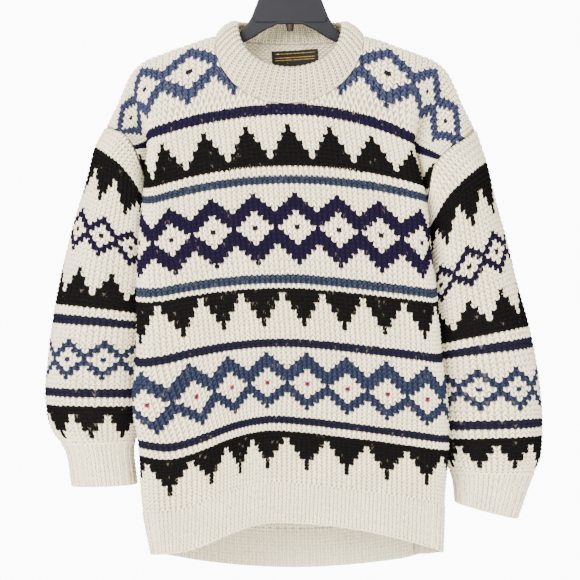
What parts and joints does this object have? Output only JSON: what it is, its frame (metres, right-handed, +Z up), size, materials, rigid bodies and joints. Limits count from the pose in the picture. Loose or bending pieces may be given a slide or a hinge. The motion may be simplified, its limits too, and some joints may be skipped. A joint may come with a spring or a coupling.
{
  "type": "fisherman sweater on a hanger",
  "caption": "Chunky stranded-colourwork crew-neck pullover with diamond and triangle bands, ribbed hem, cuffs and collar, hanging on a moulded plastic hanger.",
  "frame": {"origin": "where the top inside of the hanger's hook rests on its rail", "axes": "+X to the right of a viewer in front of the sweater, -Y out of its front, +Z up"},
  "size_m": [0.677, 0.1242, 0.8668],
  "materials": {
    "wool": "fuzzy chunky wool, stocking stitch with stranded colourwork",
    "wool_rib": "fuzzy chunky wool, one by one rib",
    "label": "woven satin, plain gold lines and no lettering",
    "plastic": "satin moulded plastic",
    "pewter": "dull dark metal",
    "steel": "bright bent wire"
  },
  "bodies": {
    "root": {"front": "wool", "back": "wool", "sleeve_left": "wool", "sleeve_right": "wool", "hem_front": "wool_rib", "hem_back": "wool_rib", "cuff_left": "wool_rib", "cuff_right": "wool_rib", "collar": "wool_rib", "neck_label": "label", "hanger": "plastic", "hanger_plate": "plastic", "hanger_boss": "pewter", "hanger_hook": "steel"}
  },
  "joints": []
}
